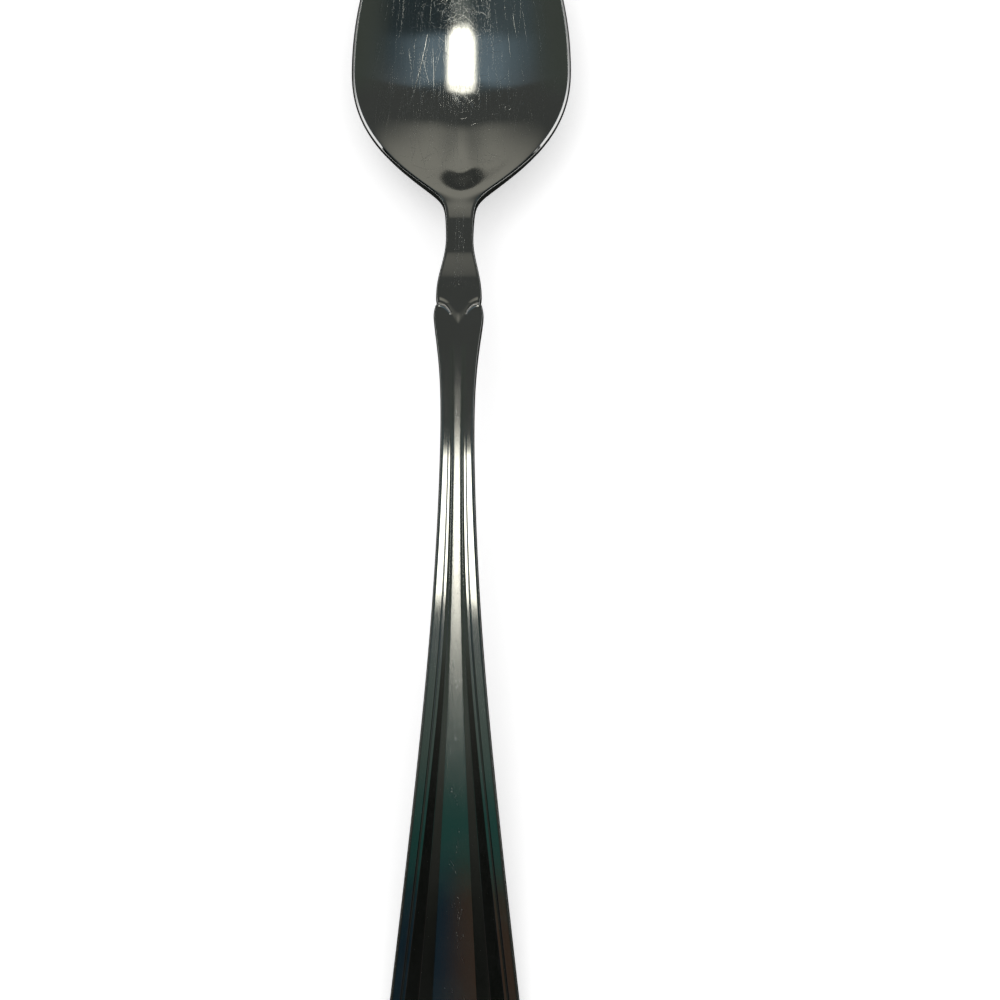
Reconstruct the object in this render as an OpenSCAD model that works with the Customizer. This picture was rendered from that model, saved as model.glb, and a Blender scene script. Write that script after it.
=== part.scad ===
// Iced tea spoon in stainless steel, blanked, forged and pressed from one flat strip.
// It lies on its back along Y, hollow side up, with the bowl towards +Y.
// It rests at Z = 0 on the bottom of the bowl and on the back of the handle's end.
// Bowl, neck and handle are zones of one piece of steel, and meet face to face.
// A station is a distance along the spoon, measured from the tip of the bowl.

/* [Bowl] */
// Length of the bowl, from its tip to the start of the neck
bowl_len = 48.5; // [44:0.5:56]
// Greatest width of the bowl, over its rim
bowl_w = 30; // [24:0.5:36]
// Distance from the bowl's tip to its widest place
bowl_wide_at = 29.3; // [24:0.1:32]
// Depth of the hollow below the rim
bowl_depth = 5.9; // [5:0.1:7.5]
// Length over which the hollow's floor turns up towards the neck
floor_turn = 8; // [6:0.5:11]
// Station at which the floor runs out into the neck
floor_end = 49.8; // [48:0.1:51.5]
// Length over which the last of the hollow fades on the neck
floor_fade = 3; // [2:0.5:5]
// Depth of the shallow thumb dip at the foot of the throat
thumb_dip = 0.55; // [0:0.05:0.8]
// Station at which the thumb dip is deepest
thumb_at = 43.2; // [41:0.1:45]
// Length over which the thumb dip rises into the neck
thumb_len = 6.8; // [5:0.1:8]
// Half width of the thumb dip
thumb_w = 2.2; // [1.5:0.1:3]
// Thickness of the metal at the bottom of the bowl
bowl_t = 1.2; // [0.8:0.1:1.8]
// Thickness of the rolled rim
rim_t = 0.9; // [0.6:0.1:1.3]
// Width of the fillet in plan where the bowl's sides run into the neck
throat_soft = 2.3; // [1:0.1:3]

/* [Neck] */
// Length of the neck, from the bowl to the notch in front of the shoulders
neck_len = 18.3; // [16:0.1:24]
// Width of the neck at its slimmest place
neck_w = 3.6; // [3:0.1:4.8]
// Distance from the bowl to the neck's slimmest place
neck_slim_at = 7.4; // [5:0.2:9]
// Width of the collar, where the neck is widest
collar_w = 6.1; // [5:0.1:6.4]
// Distance in front of the notch at which the collar is widest
collar_at = 1.3; // [0.8:0.1:2]
// Depth of the notch behind the collar, on each side
notch_dip = 0.12; // [0:0.02:0.2]
// Thickness of the neck in its middle
neck_t = 3.2; // [2.6:0.1:4]
// Thickness of the neck at its sides
neck_side_t = 2.2; // [1.6:0.1:2.6]
// Radius in plan of the neck's rounded sides
neck_round = 0.7; // [0.4:0.1:0.9]

/* [Shoulders] */
// Width across the two shoulder lobes
shoulder_w = 6.5; // [6:0.1:8]
// Distance from the notch to the widest place of the shoulders
shoulder_at = 1.7; // [1.2:0.1:2.5]
// Length over which the shoulders slim down into the handle
shoulder_fall = 7.8; // [6:0.1:10]
// Distance in front of the notch at which the raised bands leave the sides
band_at = 1; // [0.4:0.1:1.4]
// Distance behind the notch at which the bands meet and the neck's flat top ends
point_at = 0.8; // [0.4:0.1:2]
// Height of the raised bands above the neck
band_rise = 0.14; // [0.04:0.02:0.3]
// Distance that the lobes' round fronts draw back towards the middle
lobe_draw = 3.2; // [2:0.1:4]
// Length of the slope up to the bands and the lobes
step_len = 0.8; // [0.5:0.1:1.5]

/* [Handle] */
// Length of the handle, from the notch to its rounded end
handle_len = 123.2; // [110:0.2:140]
// Width that the slim end of the handle tapers to, without its shoulders
slim_w = 3.6; // [3:0.1:4.4]
// Width of the handle where its end starts to round off
fan_w = 15.7; // [12:0.1:20]
// Length over which the end rounds off
end_len = 34; // [24:1:40]
// Distance from the notch to where the taper turns into the flare
flare_from = 40; // [30:0.5:50]
// Length over which the taper eases into the flare
flare_soft = 26; // [15:1:35]
// Thickness of the handle in its middle
handle_t = 2.3; // [1.8:0.1:3]
// Thickness of the handle at its sides
handle_side_t = 1.4; // [1:0.1:1.8]
// Radius in plan of the handle's rounded sides
handle_round = 0.4; // [0.3:0.05:0.6]

/* [Ornament] */
// Width of the raised border where the handle is slim
border_slim = 1.15; // [1:0.05:1.4]
// Width of the raised border where the handle is wide
border_wide = 1.85; // [1.5:0.05:2.4]
// Distance from the notch to where the border starts to widen
border_from = 9; // [0:1:20]
// Length over which the border widens
border_over = 46; // [30:1:60]
// Height of the middle rib
rib_rise = 0.4; // [0.1:0.05:0.6]
// Height of the inner ridge of the border
ridge_rise = 0.34; // [0.1:0.02:0.5]
// Height of the outer bead of the border
bead_rise = 0.3; // [0.1:0.02:0.5]
// Depth of the groove between the ridge and the bead
groove_dip = 0.14; // [0:0.02:0.25]
// Depth of the coves between the middle rib and the border
cove_dip = 0.12; // [0:0.02:0.25]
// Length over which the middle rib dies away before the handle's end
rib_fade = 16; // [8:1:24]

/* [Side view] */
// Angle at which the rim falls from the tip towards the neck
rim_tilt = 2; // [0:0.5:4]
// Station at which the bottom of the bowl rests
rest_at = 32; // [29:0.5:36]
// Angle at which the neck rises
heel_angle = 21; // [16:1:26]
// Station of the bend that lifts the neck
heel_at = 42.5; // [40:0.5:46]
// Length over which that bend is spread
heel_soft = 9; // [5:1:14]
// Station of the arch where the handle turns down again
crest_at = 76; // [66:1:86]
// Length over which that arch is spread
crest_soft = 44; // [30:1:50]
// Distance from the handle's end to the bend that levels its foot
foot_from_end = 29; // [28:1:40]
// Length over which the foot's bend is spread
foot_soft = 5; // [4:1:12]
// Depth of the flat worn under the bowl
bowl_flat = 0.1; // [0.04:0.02:0.2]
// Depth of the flat under the handle's end
foot_flat = 0.3; // [0.1:0.05:0.4]

/* [Hidden] */

steel = [0.62, 0.62, 0.61];
notch_at = bowl_len + neck_len;
spoon_len = notch_at + handle_len;
round_from = spoon_len - end_len;
slim_at = bowl_len + neck_slim_at;
widest_at = notch_at - collar_at;
lobe_at = notch_at + shoulder_at;
foot_at = spoon_len - foot_from_end;
foot_rest_at = foot_at + foot_soft;

// Shares that shape the curves
throat_share = 0.32;        // how much of the bowl's taper follows a square law
throat_power = 2.5;         // how sharply the rest of the taper sets in
throat_reach_share = 1.125; // where the taper would close, in lengths of the taper
floor_soft_share = 0.05;    // softness of the floor's run-out, of its depth
floor_power = 0.5;          // how much more sharply the floor rounds over at the throat
end_power = 2.5;            // squareness of the handle's rounded end
lobe_power = 1.35;          // how the shoulders slim down
band_power = 2.5;           // how the raised bands curve towards the middle
lobe_share = 0.8;           // place across where the lobes reach furthest forward
lobe_draw_power = 1.7;      // how the lobes' fronts draw back
rib_share = 0.44;           // half width of the middle rib, of the distance to the ridge
bead_edge_share = 0.7;      // height left on the bead where its side rounds over

// Rows along each zone, and steps of the rounded sides
bowl_rows = 38;
neck_rows = 16;
handle_rows = 62;
side_steps = 4;
first_turn = 4;             // degrees round the tip or end at which rows start

// Columns of one half of the top: over the rib, over the cove, and from the ridge to the side
rib_shares = [0, 0.5];
cove_shares = [0, 0.3, 0.6, 0.86];
border_shares = [0, 0.35, 0.65, 1];
// Columns of one half of the back
back_shares = [0, 0.2, 0.4, 0.6, 0.8, 1];

// A ramp that starts smoothly over the length soft
function ramp(x, soft) = (x + sqrt(x * x + soft * soft)) / 2;
// A step from 0 to 1, smooth at both ends
function ease(u) = let (v = min(1, max(0, u))) v * v * (3 - 2 * v);
function mix(a, b, k) = a + (b - a) * k;

// Half widths in plan
function bowl_share(s) =
    s <= bowl_wide_at
    ? sqrt(max(0, 1 - pow(1 - s / bowl_wide_at, 2)))
    : let (u = (s - bowl_wide_at) / ((bowl_len - bowl_wide_at) * throat_reach_share))
      1 - throat_share * u * u - (1 - throat_share) * pow(u, throat_power);
function neck_half(s) =
    mix(neck_w, collar_w, ease((s - slim_at) / (widest_at - slim_at))) / 2
    - notch_dip * ease((s - widest_at) / collar_at);
function bowl_over_neck(s) =
    s <= bowl_wide_at
    ? bowl_w / 2 * bowl_share(s) - neck_w / 2
    : ramp(bowl_w / 2 * bowl_share(s) - neck_w / 2, throat_soft)
      - (ramp(bowl_w / 2 - neck_w / 2, throat_soft) - (bowl_w - neck_w) / 2);
function flare(s) = ramp(s - notch_at - flare_from, flare_soft);
function taper_half(s) =
    mix(slim_w, fan_w, (flare(s) - flare(notch_at)) / (flare(round_from) - flare(notch_at))) / 2;
function lobe_half(s) =
    s < lobe_at
    ? mix(shoulder_w, collar_w - 2 * notch_dip, pow((lobe_at - s) / shoulder_at, 2)) / 2
    : taper_half(s) + (shoulder_w / 2 - taper_half(lobe_at))
      * exp(-pow((s - lobe_at) / shoulder_fall, lobe_power));
function end_share(s) =
    s <= round_from ? 1 : sqrt(max(0, 1 - pow((s - round_from) / end_len, end_power)));
function half_w(s) =
    s <= bowl_wide_at ? bowl_w / 2 * bowl_share(s)
    : s <= notch_at ? neck_half(s) + bowl_over_neck(s)
    : lobe_half(s) * end_share(s);

// Direction out of the plan outline, as [across, along]; square to the spoon at the joins
probe = bowl_t / 100;
function side_fade(s) =
    s < notch_at
    ? 1 - ease((s - bowl_wide_at) / (bowl_len - bowl_wide_at))
    : ease((s - notch_at) / (round_from - notch_at));
function slope_w(s) =
    let (a = max(0, s - probe), b = min(spoon_len, s + probe)) (half_w(b) - half_w(a)) / (b - a);
function out_along(s) = let (k = slope_w(s)) -k / sqrt(1 + k * k) * side_fade(s);
function inset(s, d) = let (n = out_along(s)) [half_w(s) - d * sqrt(1 - n * n), s - d * n];

// Side view: height of the top surface along the middle, before hollow and ornament
heel_slope = tan(heel_angle);
rim_slope = tan(rim_tilt);
function heel(s) = ramp(s - heel_at, heel_soft) - ramp(rest_at - heel_at, heel_soft);
function crest(s) = ramp(s - crest_at, crest_soft) - ramp(rest_at - crest_at, crest_soft);
function foot(s) = ramp(s - foot_at, foot_soft) - ramp(rest_at - foot_at, foot_soft);
rest_z = hollow(rest_at) + middle_t(rest_at) - bowl_flat;
foot_z = handle_t - foot_flat;
function unarched_z(s) =
    rest_z - rim_slope * (s - rest_at) + (rim_slope + heel_slope) * heel(s) - heel_slope * foot(s);
// Slope by which the arch turns the handle down, so that its foot meets the table
arch_slope = (unarched_z(foot_rest_at) - foot_z) / (crest(foot_rest_at) - foot(foot_rest_at));
function line_z(s) = unarched_z(s) - arch_slope * (crest(s) - foot(s));

// Thickness in the middle and at the sides, and the radius of the sides in plan
function to_neck(s) = ease((s - bowl_wide_at) / (slim_at - bowl_wide_at));
function to_handle(s) = ease((s - notch_at) / (flare_from + flare_soft));
function along(s, at_bowl, at_neck, at_handle) =
    s < notch_at
    ? mix(at_bowl, at_neck, pow(to_neck(s), 2))
    : mix(at_neck, at_handle, to_handle(s));
function middle_t(s) = along(s, bowl_t, neck_t, handle_t);
function side_t(s) = along(s, rim_t, neck_side_t, handle_side_t);
function side_round(s) = along(s, rim_t / 2, neck_round, handle_round);

// Hollow of the bowl: its floor turns up and runs out at the neck
function floor_run(v) = v < 1 ? pow(v, 3) - pow(v, 4) / 2 : v - 1 / 2;
function floor_left(s) =
    1 - floor_run((s - bowl_wide_at) / floor_turn) / floor_run((floor_end - bowl_wide_at) / floor_turn);
function hollow(s) =
    s <= bowl_wide_at
    ? bowl_depth * pow(bowl_share(s), 2)
    : bowl_depth * ramp(floor_left(s), floor_soft_share) / ramp(1, floor_soft_share)
      * (1 - ease((s - floor_end) / floor_fade));
function across(x, s) = min(1, pow(x / half_w(s), 2));
function hollow_z(x, s) =
    hollow(s)
    * pow(1 - across(x, s), 1 + floor_power * ease((s - bowl_wide_at) / (floor_end - bowl_wide_at)));
function thumb_z(x, s) =
    thumb_dip * ease((s - bowl_wide_at) / (thumb_at - bowl_wide_at))
    * (1 - ease((s - thumb_at) / thumb_len)) * exp(-pow(x / thumb_w, 2));

// How far the ornament has set in, from the bowl's plain rim to the shoulders
function to_ornament(s) = ease((s - bowl_len) / neck_len);
// Width of the border, which takes up the bulge of the shoulders
function border(s) =
    mix(border_slim, border_wide, ease((s - notch_at - border_from) / border_over))
    + to_ornament(s) * max(0, half_w(min(s, round_from)) - taper_half(min(s, round_from)));
// Bands leave the sides in front of the notch and meet behind it; lobes rise behind them
function band_front(x, s) =
    notch_at - band_at
    + (band_at + point_at) * pow(1 - min(1, abs(x) / half_w(s)), band_power);
function lobe_front(x, s) =
    notch_at + lobe_draw * pow(max(0, 1 - abs(x) / half_w(s) / lobe_share), lobe_draw_power);
function banded(x, s) = ease((s - band_front(x, s)) / step_len);
function lobed(x, s) = ease((s - lobe_front(x, s)) / step_len);
// Heights of the ornament: v runs from the middle to the ridge
function inner_relief(v, x, s) =
    let (left = 1 - ease((s - spoon_len + rib_fade) / rib_fade), k = (v - rib_share) / (1 - rib_share))
    banded(x, s)
    * (v < rib_share
       ? left * rib_rise * (1 + cos(180 * v / rib_share)) / 2
       : ridge_rise * k * k - left * 4 * cove_dip * k * (1 - k));
// Heights of the border's columns: ridge, groove, bead and the bead's side
border_heights = [ridge_rise, ridge_rise - groove_dip, bead_rise, bead_rise * bead_edge_share];
function border_relief(j, x, s) =
    mix(band_rise * banded(x, s), border_heights[j], lobed(x, s));

// Heights of the top and the back, across by x at a station
function top_z(x, s) = line_z(s) - hollow_z(x, s) - thumb_z(x, s);
function back_z(x, s) =
    let (t = mix(side_t(s), middle_t(s), 1 - across(x, s)))
    max(0, line_z(s) - hollow_z(x, s) - t);
function place(x, s, z) = [x, spoon_len / 2 - s, z];

// Columns over the rib and the coves, evenly spread on the bowl
function inner_shares(s) =
    let (over_ornament = concat(rib_share * rib_shares, [for (k = cove_shares) mix(rib_share, 1, k)]))
    [for (j = [0:inner_steps - 1]) mix(j / inner_steps, over_ornament[j], to_ornament(s))];
// Half of the top: straight across to the ridge, then along the border out to the side
function top_half(s) =
    let (ridge = inset(s, border(s)))
    concat(
        [for (v = inner_shares(s))
            let (x = ridge[0] * v)
            place(x, ridge[1], top_z(x, ridge[1]) + inner_relief(v, x, s))],
        [for (j = [0:border_steps])
            let (p = inset(s, mix(border(s), side_round(s), border_shares[j])))
            place(p[0], p[1], top_z(p[0], p[1]) + border_relief(j, p[0], s))]
    );
function back_half(s) =
    let (p = inset(s, side_round(s)))
    [for (k = back_shares) place(p[0] * k, p[1], back_z(p[0] * k, p[1]))];
// Rounded side between the last point of the top and the last point of the back
function side(s, top, back) =
    [for (i = [1:side_steps - 1])
        let (
            turn = 90 - 180 * i / side_steps,
            p = inset(s, side_round(s) * (1 - cos(turn)))
        )
        place(p[0], p[1], mix(back[2], top[2], (1 + sin(turn)) / 2))];

function reversed(points) = [for (i = [len(points) - 1:-1:0]) points[i]];
function mirrored(points) = [for (p = points) [-p[0], p[1], p[2]]];
function tail(points) = [for (i = [1:len(points) - 1]) points[i]];
function last(points) = points[len(points) - 1];

// One closed section, from the left edge of the top round by the right side and the back
function section(s) =
    let (
        top = top_half(s),
        back = back_half(s),
        right = side(s, last(top), last(back))
    )
    concat(
        reversed(mirrored(tail(top))), top, right,
        reversed(back), mirrored(tail(back)), reversed(mirrored(right))
    );

// Places in a section's list of points
inner_steps = len(rib_shares) + len(cove_shares);
border_steps = len(border_shares) - 1;
back_steps = len(back_shares) - 1;
top_reach = inner_steps + border_steps;
ridge_i = top_reach + inner_steps;
side_i = 2 * top_reach;
back_i = side_i + side_steps;
loop_n = back_i + 2 * back_steps + side_steps;
function twin(i) = (2 * top_reach - i + loop_n) % loop_n;

// Skin between neighbouring sections
function skin(rows) =
    [for (r = [0:rows - 2], i = [0:loop_n - 1])
        let (a = r * loop_n + i, b = r * loop_n + (i + 1) % loop_n)
        each [[a, b, b + loop_n], [a, b + loop_n, a + loop_n]]];
// Point of the back that lies under a point of the top
function under(i) = back_i + round(2 * back_steps * (side_i - i) / side_i);
// Flat face that closes a section at a join, laced from the top to the back
function flat_cap(row) =
    let (o = row * loop_n)
    concat(
        [for (i = [0:side_i - 1]) [o + i + 1, o + i, o + under(i)]],
        [for (i = [0:side_i - 1]) if (under(i + 1) < under(i))
            [o + under(i + 1), o + i + 1, o + under(i)]],
        [for (i = [side_i:back_i - 2]) [o + i + 1, o + i, o + back_i]],
        [for (i = [under(0):loop_n - 2]) [o + i + 1, o + i, o]]
    );
// Rounded cap over a tip or an end, laced from the right side to the left
function round_cap(row) =
    let (o = row * loop_n)
    concat(
        [for (i = [twin(ridge_i):ridge_i - 1]) [o + i, o + ridge_i + 1, o + i + 1]],
        [[o + twin(ridge_i), o + twin(ridge_i + 1), o + ridge_i + 1]],
        [for (i = [ridge_i + 1:back_i - 2])
            each [[o + i, o + twin(i), o + twin(i + 1)], [o + i, o + twin(i + 1), o + i + 1]]],
        [[o + back_i - 1, o + twin(back_i - 1), o + twin(back_i)]],
        [for (i = [back_i:back_i + 2 * back_steps - 1]) [o + back_i - 1, o + i + 1, o + i]]
    );
function flipped(faces) = [for (f = faces) [for (i = [len(f) - 1:-1:0]) f[i]]];

module loft(stations, start_faces, end_faces) {
    points = [for (s = stations) each section(s)];
    polyhedron(points, concat(skin(len(stations)), start_faces, end_faces));
}

// Stations, closer together where the outline turns
function steps(a, b, n) = [for (i = [1:n]) mix(a, b, i / n)];
tip_rows = floor(bowl_rows / 2);
tip_stations = [for (i = [0:tip_rows])
    bowl_wide_at * (1 - cos(mix(first_turn, 90, i / tip_rows)))];
bowl_stations = concat(tip_stations, steps(bowl_wide_at, bowl_len, bowl_rows - tip_rows));
neck_stations = concat([bowl_len], steps(bowl_len, notch_at, neck_rows));
end_rows = floor(handle_rows / 3);
lobe_rows = floor(handle_rows / 4);
lobe_end = lobe_at + shoulder_fall;
handle_stations = concat(
    [notch_at],
    steps(notch_at, lobe_end, lobe_rows),
    steps(lobe_end, round_from, handle_rows - lobe_rows - end_rows),
    [for (i = [1:end_rows]) round_from + end_len * sin(mix(0, 90 - first_turn, i / end_rows))]
);

// Hollow of the spoon, with its rolled rim
module bowl() {
    color(steel)
        loft(bowl_stations, round_cap(0), flipped(flat_cap(bowl_rows)));
}

// Slim stem that rises from the bowl to the shoulders
module neck() {
    color(steel)
        loft(neck_stations, flat_cap(0), flipped(flat_cap(neck_rows)));
}

// Flared handle, with its shoulders, middle rib, coves and raised border
module handle() {
    color(steel)
        loft(handle_stations, flat_cap(0), flipped(round_cap(handle_rows)));
}

bowl();
neck();
handle();
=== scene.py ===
"""Looks of the iced tea spoon: polished stainless steel, lying on a pale studio floor.

The spoon is one piece of steel. Its bowl, neck and handle are drawn here as one smooth surface that
follows the same curves as the CAD part, cut into three meshes at the part's own joins.
"""

import math

import bpy
import numpy as np
from mathutils import Euler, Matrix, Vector


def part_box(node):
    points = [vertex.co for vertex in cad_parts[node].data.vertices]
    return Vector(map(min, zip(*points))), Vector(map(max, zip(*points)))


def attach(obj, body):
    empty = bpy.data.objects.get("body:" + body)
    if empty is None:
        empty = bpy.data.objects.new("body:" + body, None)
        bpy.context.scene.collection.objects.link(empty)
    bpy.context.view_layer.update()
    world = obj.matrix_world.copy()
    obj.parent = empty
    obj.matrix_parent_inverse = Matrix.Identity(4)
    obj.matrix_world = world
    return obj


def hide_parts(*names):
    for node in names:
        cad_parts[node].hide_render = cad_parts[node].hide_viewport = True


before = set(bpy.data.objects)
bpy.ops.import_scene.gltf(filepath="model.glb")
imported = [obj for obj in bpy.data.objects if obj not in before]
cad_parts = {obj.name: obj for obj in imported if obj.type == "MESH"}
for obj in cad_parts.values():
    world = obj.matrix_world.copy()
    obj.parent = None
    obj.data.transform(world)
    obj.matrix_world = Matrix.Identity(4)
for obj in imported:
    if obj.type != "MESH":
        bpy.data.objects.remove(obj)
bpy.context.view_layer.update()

# ---------------------------------------------------------------- sizes, in millimetres
SPOON_LEN = 190.0
BOWL_W = 30.0
low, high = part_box("bowl")
MM = (high.x - low.x) / BOWL_W                      # one millimetre of the drawing, in metres


def station(y):
    """Distance from the bowl's tip, in millimetres, of a place along the frame's Y."""
    return SPOON_LEN / 2 - y / MM


BOWL_LEN = station(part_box("bowl")[0].y)             # the bowl meets the neck here
NOTCH_AT = station(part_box("neck")[0].y)             # the neck meets the handle here

# The bowl: its hollow, its outline toward the neck and the thumb dip at the foot of the throat
BOWL_WIDE_AT, BOWL_DEPTH, BOWL_T, RIM_T, THROAT_SOFT = 29.3, 5.9, 1.2, 0.9, 2.3
FLOOR_TURN, FLOOR_END, FLOOR_FADE, FLOOR_SOFT, FLOOR_POWER = 8.0, 49.8, 3.0, 0.05, 0.5
THROAT_SHARE, THROAT_POWER, THROAT_REACH = 0.32, 2.5, 1.125
THUMB_DIP, THUMB_AT, THUMB_LEN, THUMB_W = 0.55, 43.2, 6.8, 2.2
# The neck, its collar and the shoulder lobes
NECK_W, NECK_SLIM_AT, COLLAR_W, COLLAR_AT, NOTCH_DIP = 3.6, 7.4, 6.1, 1.3, 0.12
NECK_T, NECK_SIDE_T, NECK_ROUND = 3.2, 2.2, 0.45
SHOULDER_W, SHOULDER_AT, SHOULDER_FALL, LOBE_POWER = 6.5, 1.7, 7.8, 1.35
# The handle and its border, rib and coves
SLIM_W, FAN_W, END_LEN, END_POWER, FLARE_FROM, FLARE_SOFT = 3.6, 15.7, 34.0, 2.5, 40.0, 26.0
HANDLE_T, HANDLE_SIDE_T, HANDLE_ROUND = 2.3, 1.4, 0.34
BORDER_SLIM, BORDER_WIDE, BORDER_FROM, BORDER_OVER = 1.15, 1.85, 9.0, 46.0
RIB_SHARE, RIB_RISE, RIDGE_RISE, RIB_FADE, RIB_CROWN = 0.45, 0.40, 0.36, 16.0, 0.05
COVE_SLOPE, COVE_DEEPEST, COVE_SOFT, COVE_LEAST = 0.62, 0.45, 0.04, 0.05
# The line of the spoon seen from the side
RIM_TILT, REST_AT = math.radians(2), 32.0
HEEL_ANGLE, HEEL_AT, HEEL_SOFT = math.radians(21), 42.5, 9.0
CREST_AT, CREST_SOFT = 76.0, 44.0
FOOT_FROM_END, FOOT_SOFT = 29.0, 5.0
BOWL_FLAT, FOOT_FLAT = 0.1, 0.3

ROUND_FROM = SPOON_LEN - END_LEN
SLIM_AT = BOWL_LEN + NECK_SLIM_AT
WIDEST_AT = NOTCH_AT - COLLAR_AT
LOBE_AT = NOTCH_AT + SHOULDER_AT
FOOT_AT = SPOON_LEN - FOOT_FROM_END


# ---------------------------------------------------------------- curves
def ramp(x, soft):
    return (x + np.sqrt(x * x + soft * soft)) / 2


def ease(u):
    v = np.clip(u, 0, 1)
    return v * v * (3 - 2 * v)


def mix(a, b, k):
    return a + (b - a) * k


def bump(x, width):
    """A bell of height 1 and about the given half width."""
    return np.exp(-((x / width) ** 2))


def bowl_share(s):
    tip = np.sqrt(np.maximum(0, 1 - (1 - s / BOWL_WIDE_AT) ** 2))
    u = np.maximum(0, s - BOWL_WIDE_AT) / ((BOWL_LEN - BOWL_WIDE_AT) * THROAT_REACH)
    taper = 1 - THROAT_SHARE * u * u - (1 - THROAT_SHARE) * u**THROAT_POWER
    return np.where(s <= BOWL_WIDE_AT, tip, taper)


def bowl_over_neck(s):
    over = BOWL_W / 2 * bowl_share(s) - NECK_W / 2
    lift = ramp((BOWL_W - NECK_W) / 2, THROAT_SOFT) - (BOWL_W - NECK_W) / 2
    return np.where(s <= BOWL_WIDE_AT, over, ramp(over, THROAT_SOFT) - lift)


def neck_half(s):
    wide = ease((s - SLIM_AT) / (WIDEST_AT - SLIM_AT))
    return mix(NECK_W, COLLAR_W, wide) / 2 - NOTCH_DIP * ease((s - WIDEST_AT) / COLLAR_AT)


def flare(s):
    return ramp(s - NOTCH_AT - FLARE_FROM, FLARE_SOFT)


def taper_half(s):
    share = (flare(s) - flare(NOTCH_AT)) / (flare(ROUND_FROM) - flare(NOTCH_AT))
    return mix(SLIM_W, FAN_W, share) / 2


def lobe_half(s):
    before = np.maximum(0, LOBE_AT - s) / SHOULDER_AT
    front = mix(SHOULDER_W, COLLAR_W - 2 * NOTCH_DIP, before**2) / 2
    after = np.maximum(0, s - LOBE_AT) / SHOULDER_FALL
    back = taper_half(s) + (SHOULDER_W / 2 - taper_half(LOBE_AT)) * np.exp(-(after**LOBE_POWER))
    return np.where(s < LOBE_AT, front, back)


def end_share(s):
    return np.sqrt(np.maximum(0, 1 - (np.maximum(0, s - ROUND_FROM) / END_LEN) ** END_POWER))


def half_w(s):
    s = np.clip(s, 0, SPOON_LEN)
    on_neck = neck_half(s) + bowl_over_neck(s)
    on_handle = lobe_half(s) * end_share(s)
    return np.where(
        s <= BOWL_WIDE_AT, BOWL_W / 2 * bowl_share(s), np.where(s <= NOTCH_AT, on_neck, on_handle)
    )


def out_along(s):
    """How far the outline faces along the spoon; nothing at the joins, so that they stay square."""
    a, b = np.maximum(0, s - 0.01), np.minimum(SPOON_LEN, s + 0.01)
    slope = (half_w(b) - half_w(a)) / (b - a)
    in_front = 1 - ease((s - BOWL_WIDE_AT) / (BOWL_LEN - BOWL_WIDE_AT))
    behind = ease((s - NOTCH_AT) / (ROUND_FROM - NOTCH_AT))
    return -slope / np.sqrt(1 + slope * slope) * np.where(s < NOTCH_AT, in_front, behind)


def inset(s, d):
    """Place at a distance d inside the outline: across, and its station."""
    n = out_along(s)
    return half_w(s) - d * np.sqrt(1 - n * n), s - d * n


def bend(s, at, soft):
    return ramp(s - at, soft) - ramp(REST_AT - at, soft)


def along(s, at_bowl, at_neck, at_handle):
    to_neck = ease((s - BOWL_WIDE_AT) / (SLIM_AT - BOWL_WIDE_AT)) ** 2
    to_handle = ease((s - NOTCH_AT) / (FLARE_FROM + FLARE_SOFT))
    in_front, behind = mix(at_bowl, at_neck, to_neck), mix(at_neck, at_handle, to_handle)
    return np.where(s < NOTCH_AT, in_front, behind)


def middle_t(s):
    return along(s, BOWL_T, NECK_T, HANDLE_T)


def side_t(s):
    return along(s, RIM_T, NECK_SIDE_T, HANDLE_SIDE_T)


def side_round(s):
    return along(s, RIM_T / 2, NECK_ROUND, HANDLE_ROUND)


def floor_run(v):
    return np.where(v < 1, v**3 - v**4 / 2, v - 0.5)


def hollow(s):
    whole = floor_run((FLOOR_END - BOWL_WIDE_AT) / FLOOR_TURN)
    left = 1 - floor_run(np.maximum(0, s - BOWL_WIDE_AT) / FLOOR_TURN) / whole
    fade = 1 - ease((s - FLOOR_END) / FLOOR_FADE)
    toward_neck = ramp(left, FLOOR_SOFT) / ramp(1, FLOOR_SOFT) * fade
    return BOWL_DEPTH * np.where(s <= BOWL_WIDE_AT, bowl_share(s) ** 2, toward_neck)


REST = np.float64(REST_AT)
REST_Z = float(hollow(REST) + middle_t(REST)) - BOWL_FLAT
FOOT_Z = HANDLE_T - FOOT_FLAT
HEEL_SLOPE, RIM_SLOPE = math.tan(HEEL_ANGLE), math.tan(RIM_TILT)


def unarched_z(s):
    rise = (RIM_SLOPE + HEEL_SLOPE) * bend(s, HEEL_AT, HEEL_SOFT)
    return REST_Z - RIM_SLOPE * (s - REST_AT) + rise - HEEL_SLOPE * bend(s, FOOT_AT, FOOT_SOFT)


def arch(s):
    return bend(s, CREST_AT, CREST_SOFT) - bend(s, FOOT_AT, FOOT_SOFT)


ARCH_SLOPE = (unarched_z(FOOT_AT + FOOT_SOFT) - FOOT_Z) / arch(FOOT_AT + FOOT_SOFT)


def line_z(s):
    return unarched_z(s) - ARCH_SLOPE * arch(s)


def across(x, s):
    return np.minimum(1, (x / np.maximum(half_w(s), 1e-6)) ** 2)


def hollow_z(x, s):
    power = 1 + FLOOR_POWER * ease((s - BOWL_WIDE_AT) / (FLOOR_END - BOWL_WIDE_AT))
    return hollow(s) * (1 - across(x, s)) ** power


def thumb_z(x, s):
    sunk = ease((s - BOWL_WIDE_AT) / (THUMB_AT - BOWL_WIDE_AT))
    sunk = sunk * (1 - ease((s - THUMB_AT) / THUMB_LEN))
    return THUMB_DIP * sunk * bump(x, THUMB_W)


# ---------------------------------------------------------------- ornament
# Bands in front of the lobes: where they start, how long they slope up and how high. In the middle
# they start and end further back, and STEM_ROUND rounds the turn there
BAND_FROM, BAND_LEN, BAND_TO = 1.3, 1.2, 0.21
BAND_REACH, BAND_WIDEN, STEM_ROUND = 2.6, 2.2, 0.09
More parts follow.
